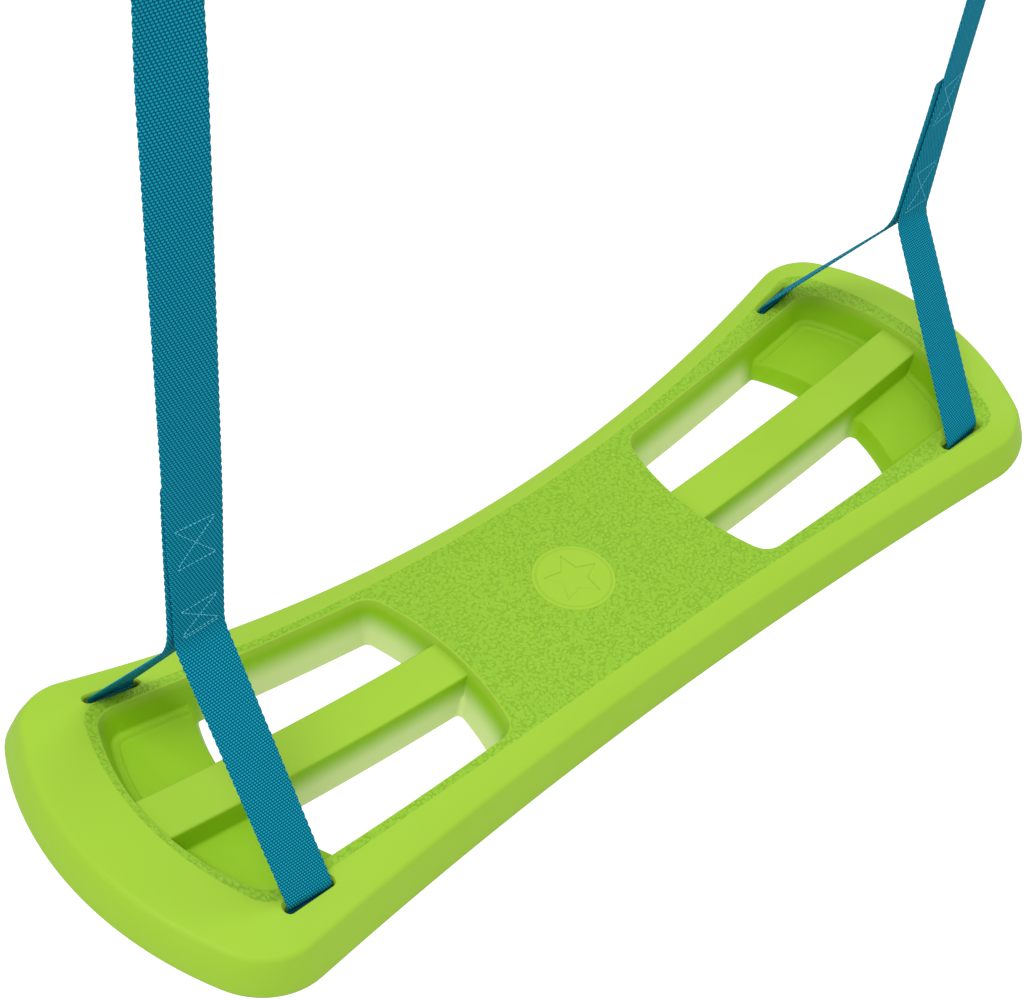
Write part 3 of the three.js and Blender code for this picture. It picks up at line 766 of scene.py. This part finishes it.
def webbing_strip(name, line, end, turn=0.0, top_z=APEX_Z, shift=(0, 0)):
    """A strip of webbing along a line, with scalloped selvedges."""
    centre, along = evenly(line, STRIP_SPACING)
    tangent = np.gradient(centre, axis=0)
    tangent /= np.hypot(*tangent.T)[:, None]
    normal = np.stack([-tangent[:, 1], tangent[:, 0]], 1)
    cross = section()
    across = cross[None, :, 0] * scalloped_half_width(along, cross)
    through = cross[None, :, 1] * WEB_THICK / 2
    y, z = (centre[:, None, k] + normal[:, None, k] * through for k in (0, 1))
    points = np.stack([across, y, z], 2).reshape(-1, 3)
    lean_to_board(points, end, top_z)
    shift_sideways(points, *shift)
    twist_strap(points, turn)
    points[:, 0] += end * SLOT_X
    strip = loft(name, points.reshape(len(centre), len(cross), 3), ladder_caps=False)
    keep_weave(strip, across, along)
    return settle(strip, 60)


# ---------- stitching ----------

# Each line of a block runs between two corners, given as (across, up). 1 is the block's edge.
TOP, BOTTOM = ((1, 1), (-1, 0.88)), ((1, -0.88), (-1, -1))
DIAGONALS = [((-1, 0.88), (1, -0.88)), ((0.94, 0.9), (-0.94, -0.86))]
HOURGLASS = [TOP, BOTTOM] + DIAGONALS
DOUBLED = [((1, -1.06), (-0.9, -1.16))]
STITCH_BLOCKS = {
    "near": {
        "lower": dict(low=220, high=246, lines=HOURGLASS + DOUBLED),
        "upper": dict(low=284, high=321, lines=HOURGLASS),
        "eye": dict(low=729, high=755, lines=HOURGLASS),
    },
    "far": {
        "lower": dict(low=221, high=265, lines=HOURGLASS),
        "upper": dict(low=312, high=351, lines=HOURGLASS),
        "eye": dict(low=729, high=755, lines=HOURGLASS),
    },
}
STITCH_HALF_WIDTH = 14
STITCH_LENGTH, STITCH_PITCH, STITCH_RADIUS = 2.6, 3.0, 0.32


def stitch_points(start, finish, face, side):
    """The centre line of one stitch, which dips into the webbing at its ends."""
    shares = [0, 0.12, 0.3, 0.5, 0.7, 0.88, 1]
    lifts = [-0.55, -0.12, 0.12, 0.2, 0.12, -0.12, -0.55]
    points = []
    for share, lift in zip(shares, lifts):
        across, up = start + (finish - start) * share
        points.append((across, side * (face + lift), up))
    return points


def stitch_block(name, low, high, lines, end, turn):
    """Every stitch of a block, on the front of the strap and on its back."""
    face = LAYER_Y + WEB_THICK / 2
    middle, half_height = (low + high) / 2, (high - low) / 2
    points, faces = [], []
    for (ax, az), (bx, bz) in lines:
        a = np.array([ax * STITCH_HALF_WIDTH, middle + az * half_height])
        b = np.array([bx * STITCH_HALF_WIDTH, middle + bz * half_height])
        length = np.hypot(*(b - a))
        count = max(round(length / STITCH_PITCH), 1)
        unit = (b - a) / length
        for i in range(count):
            centre = a + unit * length * (i + 0.5) / count
            reach = unit * STITCH_LENGTH / 2
            for side in (-1, 1):
                path = stitch_points(centre - reach, centre + reach, face, side)
                tube_points, tube_faces = tube(path, STITCH_RADIUS, 8, (0, 1, 0))
                faces += [tuple(len(points) + k for k in f) for f in tube_faces]
                points += tube_points
    moved = np.array(points, float)
    twist_strap(moved, turn)
    moved[:, 0] += end * SLOT_X
    return settle(mesh_object(name, moved, faces), 60)


# ---------- steel ----------


def tube(path, radius, sides, beside, closed=False):
    """Points and faces of a round bar along a path in a plane that `beside` is square to."""
    line = np.array(path, float)
    if closed:
        tangent = np.roll(line, -1, 0) - np.roll(line, 1, 0)
    else:
        tangent = np.gradient(line, axis=0)
    tangent /= np.linalg.norm(tangent, axis=1)[:, None]
    side = np.array(beside, float)
    points = []
    for p, t in zip(line, tangent):
        across = np.cross(side, t)
        for i in range(sides):
            a = 2 * math.pi * i / sides
            points.append(tuple(p + radius * (math.cos(a) * across + math.sin(a) * side)))
    last = (len(line) - 1) * sides
    faces = ring_walls(len(line), sides)
    if closed:
        faces += [(last + i, i, (i + 1) % sides, last + (i + 1) % sides) for i in range(sides)]
    else:
        faces += [tuple(range(sides)), tuple(last + i for i in range(sides))]
    return points, faces


def arc_line(centre, radius, start, finish, steps):
    """Points on an arc, from the angle start to finish in degrees."""
    angles = [math.radians(start + (finish - start) * i / steps) for i in range(steps + 1)]
    return on_circle(centre, radius, angles)


def ring_line():
    """The D-ring's centre line as (x, z) points, once round from the bar."""
    w, r = RING_HALF_WIDTH, RING_CORNER
    shoulder = EYE_BAR_Z + RING_SIDE
    line = arc_line((w - r, EYE_BAR_Z + r), r, -90, 0, 8)
    line += arc_line((0, shoulder), w, 0, 180, 48)
    line += arc_line((-w + r, EYE_BAR_Z + r), r, 180, 270, 8)
    bar = np.linspace(-w + r, w - r, 12)[1:-1]
    return line + [(x, EYE_BAR_Z) for x in bar]


def make_ring(name, end):
    """A welded D-ring."""
    path = [(end * SLOT_X + x, 0, z) for x, z in ring_line()]
    return settle(mesh_object(name, *tube(path, RING_WIRE, 24, (0, 1, 0), closed=True)), 60)


def plate(outline, x_from, x_to, ease):
    """A plate across X, from (y, z) points, with eased edges."""
    middle = np.mean(outline, axis=0)
    small = 0.92
    levels = [(x_from, small), (x_from + ease, 1), (x_to - ease, 1), (x_to, small)]
    rings = [
        [(x, *(middle + (np.array(p) - middle) * share)) for p in outline]
        for x, share in levels
    ]
    return loft("plate", rings, ladder_caps=False)


def lug_outline(reach):
    """A lug with its round end about the gate's pin, reaching up or down from it."""
    y, z = -HOOK_BOW, PIN_HEIGHT
    start, finish = (0, 180) if reach < 0 else (180, 360)
    round_end = arc_line((y, z), LUG_RADIUS, start, finish, 20)
    far = z + reach
    return round_end + [(round_end[-1][0], far), (round_end[0][0], far)]


def make_hook_body(name, end):
    """A long oval of wire that is open along one side, with the tongue for its gate. A
    thinner lip goes on from the wire's end to the nose."""
    x = end * SLOT_X
    line = arc_line((0, HOOK_BOW_Z), HOOK_BOW, 180, 360, 36)
    line += arc_line((0, HOOK_TOP_BOW_Z), HOOK_BOW, 0, 180, 36)
    nose = HOOK_BOW_Z + NOSE_Z
    line += [(-HOOK_BOW, nose + 2.5), (-HOOK_BOW, nose + 1.2)]
    path = [(x, y, z) for y, z in line]
    body = mesh_object(name, *tube(path, HOOK_WIRE, 24, (1, 0, 0)))
    lip_path = [(x, -HOOK_BOW, nose + rise) for rise in (1.4, 0.5, 0)]
    lip = mesh_object("lip", *tube(lip_path, HOOK_WIRE - NOSE_STEP, 24, (1, 0, 0)))
    tongue = plate(lug_outline(-6), x - TONGUE / 2, x + TONGUE / 2, 0.4)
    for piece in (lip, tongue):
        combine(body, piece, "UNION")
    return settle(body, 40)


def make_gate(name, end):
    """The spring gate, with a fork astride the hook's tongue."""
    x = end * SLOT_X
    low, high = PIN_HEIGHT + LUG_RADIUS + 0.8, HOOK_BOW_Z + NOSE_Z - 0.5
    profile = [
        (low, GATE_WIRE - GATE_EDGE),
        (low + GATE_EDGE, GATE_WIRE),
        (high - GATE_EDGE, GATE_WIRE),
        (high, GATE_WIRE - GATE_EDGE),
    ]
    rings = [at_height(circle(r, 24, x, -HOOK_BOW), z) for z, r in reversed(profile)]
    gate = loft(name, rings)
    rise = LUG_RADIUS + 3
    inner = TONGUE / 2 + GAP
    for side in (1, -1):
        a, b = sorted((side * inner, side * (inner + CHEEK)))
        combine(gate, plate(lug_outline(rise), x + a, x + b, 0.3), "UNION")
    return settle(gate, 40)


def make_pin(name, end):
    """The gate's rivet, with a domed head at each side."""
    x = end * SLOT_X
    half = TONGUE / 2 + GAP + CHEEK
    profile = [(half - 0.05, PIN_RADIUS), (half + 0.1, 1.9), (half + 0.5, 1.6), (half + 0.7, 0.7)]
    levels = [(-d, r) for d, r in reversed(profile)] + profile
    rings = [
        [(x + d, -HOOK_BOW + y, PIN_HEIGHT + z) for y, z in circle(r, 24)] for d, r in levels
    ]
    return settle(loft(name, rings, ladder_caps=False), 40)


# ---------- materials ----------


class Finish:
    """A material under construction, with short ways to add and join its nodes."""

    def __init__(self, name, roughness, metallic=0.0):
        self.material = bpy.data.materials.new(name)
        self.material.use_nodes = True
        self.tree = self.material.node_tree
        self.shader = self.tree.nodes["Principled BSDF"]
        self.shader.inputs["Roughness"].default_value = roughness
        self.shader.inputs["Metallic"].default_value = metallic

    def join(self, source, target):
        self.tree.links.new(source, target)

    def node(self, kind, inputs=None, **settings):
        made = self.tree.nodes.new(kind)
        for key, value in settings.items():
            setattr(made, key, value)
        for key, value in (inputs or {}).items():
            if isinstance(value, bpy.types.NodeSocket):
                self.join(value, made.inputs[key])
            else:
                made.inputs[key].default_value = value
        return made

    def math(self, operation, a, b=0.0):
        return self.node("ShaderNodeMath", {0: a, 1: b}, operation=operation).outputs[0]

    def position(self):
        return self.node("ShaderNodeTexCoord").outputs["Object"]

    def noise(self, scale, detail=3.0, where=None):
        inputs = {"Vector": where or self.position(), "Scale": scale, "Detail": detail}
        return self.node("ShaderNodeTexNoise", inputs).outputs["Fac"]

    def between(self, value, low, high, to_low=0.0, to_high=1.0):
        inputs = {0: value, 1: low, 2: high, 3: to_low, 4: to_high}
        return self.node("ShaderNodeMapRange", inputs, interpolation_type="SMOOTHSTEP").outputs[0]

    def falling(self, value, low, high):
        return self.between(value, low, high, 1.0, 0.0)

    def every(self, *shares):
        total = shares[0]
        for share in shares[1:]:
            total = self.math("MULTIPLY", total, share)
        return total

    def blend(self, share, a, b):
        return self.node("ShaderNodeMix", {0: share, 6: a, 7: b}, data_type="RGBA").outputs[2]

    def colour(self, socket):
        self.join(socket, self.shader.inputs["Base Color"])

    def roughness(self, socket):
        self.join(socket, self.shader.inputs["Roughness"])

    def bump(self, height, strength, distance, under=None):
        inputs = {"Height": height, "Strength": strength, "Distance": distance}
        if under:
            inputs["Normal"] = under
        return self.node("ShaderNodeBump", inputs).outputs["Normal"]

    def eased(self, radius):
        return self.node("ShaderNodeBevel", {"Radius": radius}, samples=6).outputs["Normal"]

    def normal(self, socket):
        self.join(socket, self.shader.inputs["Normal"])


PLASTIC_SPECULAR, WEBBING_SPECULAR = 0.15, 0.04
CLOUD_SCALE, GRAIN_SCALE = 9, 225.0  # features per metre
GLINT_SHARE, PIT_SHADE_SHARE = 0.45, 0.42
EDGE_EASE = 0.0009
FLOAT_LENGTH, FLOAT_WIDTH, FLOAT_STEP = 2.3, 2.0, 0.36  # the weave's, in millimetres and rows

# Where painted shade and a painted glow change the green, in metres from the middle of the board
# or below the deck, or as how far a face is turned upwards. A change starts at the first value
# and ends at the second.
WINDOW_STARTS, WINDOW_ENDS = (0.128, 0.145), (0.43, 0.436)
WINDOW_SIDES = 0.104, 0.108
HOLE_ENDS = 0.176, 0.196  # from the centre of the holes' outer arc
UPRIGHT, UNDERSIDE = (0.5, 0.8), (-0.8, -0.5)
GLOW_DEPTHS, GLOW_SHARE = (0.01, 0.032), 0.8
WALL_SHADE_DEPTHS, WALL_SHADE_SHARE = (0.002, 0.01), 0.85
SHELF_SHADE_DEPTHS, SHELF_SHADE_SHARE = (0.01, 0.026), 0.6


def lime(finish, where, surface):
    """Translucent green. Inside the windows painted shade makes it deeper the further it lies
    below the deck, and painted light makes it paler on the upright walls of the holes, for the
    light that shines through them."""
    parts = finish.node("ShaderNodeSeparateXYZ", {0: where}).outputs
    facing_up = finish.node("ShaderNodeTexCoord").outputs["Normal"]
    tilt = finish.node("ShaderNodeSeparateXYZ", {0: facing_up}).outputs["Z"]
    across = finish.math("ABSOLUTE", parts["Y"])
    along = finish.math("ABSOLUTE", parts["X"])
    rise = finish.math("MULTIPLY", finish.math("POWER", along, 2.0), 500 / BOW_RADIUS)
    depth = finish.math("SUBTRACT", rise, finish.math("ADD", parts["Z"], HANG_DROP / 1000))
    in_window = finish.every(
        finish.between(along, *WINDOW_STARTS),
        finish.falling(along, *WINDOW_ENDS),
        finish.falling(across, *WINDOW_SIDES),
        finish.between(tilt, *UNDERSIDE),
    )
    upright = finish.falling(tilt, *UPRIGHT)
    from_centre = finish.math("SUBTRACT", along, HOLE_CENTRE_X / 1000)
    squares = [finish.math("POWER", side, 2.0) for side in (from_centre, across)]
    radius = finish.math("SQRT", finish.math("ADD", *squares))
    # A painted glow of light on the holes' upright walls, growing below the deck.
    painted_glow = finish.every(
        in_window,
        finish.falling(radius, *HOLE_ENDS),
        upright,
        finish.between(depth, *GLOW_DEPTHS, 0.0, GLOW_SHARE),
    )
    # Painted shade on the windows' walls and shelf, darker the further below the deck.
    shade_on_walls = finish.every(upright, finish.between(depth, *WALL_SHADE_DEPTHS, 0.0, WALL_SHADE_SHARE))
    shade_at_bottom = finish.between(depth, *SHELF_SHADE_DEPTHS, 0.0, SHELF_SHADE_SHARE)
    painted_shade = finish.every(in_window, finish.math("MAXIMUM", shade_on_walls, shade_at_bottom))
    return finish.blend(painted_glow, finish.blend(painted_shade, surface, LIME_PAINTED_DEPTH_SHADE), LIME_PAINTED_GLOW)


def smooth_plastic():
    """Moulded polyethylene with a faint orange-peel skin."""
    finish = Finish("lime_plastic", 0.5)
    finish.shader.inputs["Specular IOR Level"].default_value = PLASTIC_SPECULAR
    where = finish.position()
    cloudy = finish.noise(CLOUD_SCALE, 3.0, where)
    # lime() adds painted shade inside the windows and a painted glow on the holes' walls.
    finish.colour(lime(finish, where, finish.blend(cloudy, LIME, LIME_SHADE)))
    finish.roughness(finish.between(finish.noise(60), 0.3, 0.7, 0.5, 0.6))
    skin = finish.noise(420)
    finish.normal(finish.bump(skin, 0.12, 0.0003, under=finish.eased(EDGE_EASE)))
    return finish.material


def textured_plastic():
    """The land's anti-slip grain: small raised pebbles that lie close together."""
    finish = Finish("lime_plastic_grained", 0.5)
    finish.shader.inputs["Specular IOR Level"].default_value = PLASTIC_SPECULAR
    where = finish.position()
    sizes = {"Vector": where, "Scale": GRAIN_SCALE}
    cells = finish.node("ShaderNodeTexVoronoi", sizes).outputs["Distance"]
    borders = finish.node("ShaderNodeTexVoronoi", sizes, feature="DISTANCE_TO_EDGE")
    line = finish.falling(borders.outputs["Distance"], 0.03, 0.13)
    broken = finish.between(finish.noise(300, 1.0, where), 0.4, 0.6)
    furrow = finish.math("MULTIPLY", line, broken)
    crown = finish.falling(cells, 0.08, 0.34)
    base = finish.blend(finish.noise(CLOUD_SCALE, 3.0, where), LIME_LAND, LIME_LAND_SHADE)
    # A painted highlight lightens the pebbles' crowns, and painted shade darkens the furrows.
    lit = finish.blend(finish.math("MULTIPLY", crown, GLINT_SHARE), base, LIME_GLINT)
    finish.colour(finish.blend(finish.math("MULTIPLY", furrow, PIT_SHADE_SHARE), lit, LIME_PAINTED_PIT_SHADE))
    finish.roughness(finish.between(furrow, 0.0, 1.0, 0.5, 0.66))
    height = finish.math("SUBTRACT", finish.falling(cells, 0.0, 0.6), furrow)
    finish.normal(finish.bump(height, 0.6, 0.0006, under=finish.eased(EDGE_EASE)))
    return finish.material


def woven(name, dark, middle, light):
    """Polyester webbing: rows of short floats that step sideways from row to row."""
    finish = Finish(name, 0.82)
    finish.shader.inputs["Specular IOR Level"].default_value = WEBBING_SPECULAR
    where = finish.node("ShaderNodeAttribute", attribute_name="weave").outputs["Vector"]
    parts = finish.node("ShaderNodeSeparateXYZ", {0: where}).outputs
    row = finish.math("DIVIDE", parts["Y"], FLOAT_WIDTH)
    step = finish.math("MULTIPLY", finish.math("FLOOR", row), FLOAT_STEP)
    column = finish.math("ADD", finish.math("DIVIDE", parts["X"], FLOAT_LENGTH), step)

    def ridge(value):
        fold = finish.math("ABSOLUTE", finish.math("SUBTRACT", finish.math("FRACT", value), 0.5))
        wide = finish.math("POWER", finish.math("MULTIPLY", fold, 2.0), 2.4)
        return finish.math("SUBTRACT", 1.0, wide)

    floats = finish.math("MULTIPLY", ridge(row), ridge(column))
    fibres = finish.noise(2.6, 4.0, where)
    # The gaps between the floats get painted shade, and the floats' middles, flecked by the
    # fibres, carry a painted highlight.
    painted_shade = finish.blend(finish.between(floats, 0.1, 0.7), dark, middle)
    shine = finish.math("MULTIPLY", finish.between(floats, 0.62, 1.0, 0.0, 0.6), fibres)
    finish.colour(finish.blend(shine, painted_shade, light))
    finish.roughness(finish.between(fibres, 0.3, 0.7, 0.72, 0.92))
    fine = finish.bump(fibres, 0.25, 0.00015)
    finish.normal(finish.bump(floats, 0.9, 0.00045, under=fine))
    return finish.material


def sewing_thread():
    """Twisted bonded thread."""
    finish = Finish("sewing_thread", 0.6)
    twist = finish.noise(1500, 2.0)
    finish.colour(finish.blend(finish.between(twist, 0.35, 0.65), THREAD_DARK, THREAD))
    finish.normal(finish.bump(twist, 0.4, 0.0001))
    return finish.material


def plated_steel():
    """Zinc-plated steel with fine scratches."""
    finish = Finish("plated_steel", 0.3, metallic=1.0)
    cloudy, scratches = finish.noise(70), finish.noise(900, 5.0)
    finish.colour(finish.blend(finish.between(cloudy, 0.3, 0.7), STEEL, STEEL_DARK))
    finish.roughness(finish.between(cloudy, 0.3, 0.7, 0.24, 0.38))
    finish.normal(finish.bump(scratches, 0.15, 0.0001, under=finish.eased(0.0004)))
    return finish.material


def paper():
    """The studio's pale floor."""
    finish = Finish("studio_floor", 0.9)
    finish.shader.inputs["Specular IOR Level"].default_value = 0.0
    finish.shader.inputs["Emission Color"].default_value = (1, 1, 1, 1)
    finish.shader.inputs["Emission Strength"].default_value = 0.12
    finish.colour(finish.blend(finish.noise(1.5), PAPER, PAPER_SHADE))
    return finish.material


# ---------- assembly ----------


def dress(obj, material):
    """Gives a piece its material."""
    obj.data.materials.clear()
    obj.data.materials.append(material)
    return obj


def make_suspension(name, end, webbing, thread, steel):
    """Everything that hangs at one end of the board."""
    bridle, turn = f"{name}_bridle", TWIST[name]
    strips = {
        "main": (bridle, dict(line=main_line(), turn=turn)),
        "tail": (bridle, dict(line=tail_line(), turn=turn, shift=TAIL_SHIFT[name])),
        "under_board": ("deck", dict(line=under_line(), top_z=LEANS_ALL_OVER)),
    }
    for part, (body, shape) in strips.items():
        strip = webbing_strip(f"{name}_webbing_{part}", end=end, **shape)
        hold(dress(strip, webbing), body, "webbing", f"{name}_strap_{part}")
    for part, block in STITCH_BLOCKS[name].items():
        sewn = stitch_block(f"{name}_sewing_{part}", end=end, turn=turn, **block)
        hold(dress(sewn, thread), bridle, "thread", f"{name}_stitch_{part}")
    fittings = {
        "d_ring": (make_ring, "rings"),
        "hook_body": (make_hook_body, "hangers"),
        "hook_gate": (make_gate, f"{name}_gate"),
        "hook_pin": (make_pin, "hangers"),
    }
    for part, (make, body) in fittings.items():
        fitting = make(f"{name}_{part}_steel", end)
        hold(dress(fitting, steel), body, "steel", f"{name}_{part}")


# ---------- camera, light and stage ----------

CAMERA_AZIMUTH, CAMERA_ELEVATION, CAMERA_ROLL = -53.6417, 47.5277, 11.3499
CAMERA_FROM_DECK = Vector((-0.84776, -0.68110, 1.20511))
CAMERA_LENS, CAMERA_SHIFT = 67.41, (-0.1138, 0.0725)
SURROUND = 0.82  # brightness of the white world round the stage
FLOOR_HALF, FLOOR_BELOW_DECK = 60, 1.3  # in metres


def facing(azimuth, elevation, roll=0.0):
    """The turn of a camera or lamp that looks at the part from this side."""
    az, el, roll = (math.radians(v) for v in (azimuth, elevation, roll))
    back = Vector((math.sin(az) * math.cos(el), -math.cos(az) * math.cos(el), math.sin(el)))
    right = Vector((math.cos(az), math.sin(az), 0))
    up = back.cross(right)
    across = right * math.cos(roll) + up * math.sin(roll)
    upright = up * math.cos(roll) - right * math.sin(roll)
    return Matrix((across, upright, back)).transposed().to_4x4()


def make_camera():
    """The photographer's viewpoint."""
    lens = bpy.data.cameras.new("camera")
    camera = bpy.data.objects.new("camera", lens)
    bpy.context.scene.collection.objects.link(camera)
    place = Matrix.Translation(CAMERA_FROM_DECK - Vector((0, 0, HANG_DROP / 1000)))
    camera.matrix_world = place @ facing(CAMERA_AZIMUTH, CAMERA_ELEVATION, CAMERA_ROLL)
    lens.lens, lens.sensor_width = CAMERA_LENS, 36
    lens.shift_x, lens.shift_y = CAMERA_SHIFT
    bpy.context.scene.camera = camera


def make_lamp(name, azimuth, elevation, distance, size, power):
    """A soft square lamp that looks at the middle of the swing."""
    light = bpy.data.lights.new(name, "AREA")
    light.shape, light.size, light.energy = "SQUARE", size, power
    lamp = bpy.data.objects.new(name, light)
    bpy.context.scene.collection.objects.link(lamp)
    turn = facing(azimuth, elevation)
    middle = Vector((0, 0, -HANG_DROP / 1000))
    lamp.matrix_world = Matrix.Translation(middle + distance * turn.col[2].xyz) @ turn


def make_studio():
    """A white surround, two soft lamps and a pale floor well below the board."""
    world = bpy.data.worlds.new("studio")
    world.use_nodes = True
    background = world.node_tree.nodes["Background"]
    background.inputs["Color"].default_value = (1, 1, 1, 1)
    background.inputs["Strength"].default_value = SURROUND
    bpy.context.scene.world = world
    bpy.context.scene.view_settings.view_transform = "Standard"
    make_lamp("key_lamp", azimuth=-75, elevation=62, distance=3.2, size=1.2, power=60)
    make_lamp("fill_lamp", azimuth=95, elevation=42, distance=3.6, size=2.0, power=36)
    half, floor_z = FLOOR_HALF, -HANG_DROP / 1000 - FLOOR_BELOW_DECK
    corners = [(-half, -half), (half, -half), (half, half), (-half, half)]
    floor = mesh_object("studio_floor", at_height(corners, floor_z), [(0, 1, 2, 3)])
    dress(floor, paper())


make_camera()
make_studio()
make_board(smooth_plastic(), textured_plastic())
materials = woven("teal_webbing", TEAL_PAINTED_SHADE, TEAL, TEAL_PAINTED_HIGHLIGHT), sewing_thread(), plated_steel()
for end_name, direction in ENDS.items():
    make_suspension(end_name, direction, *materials)
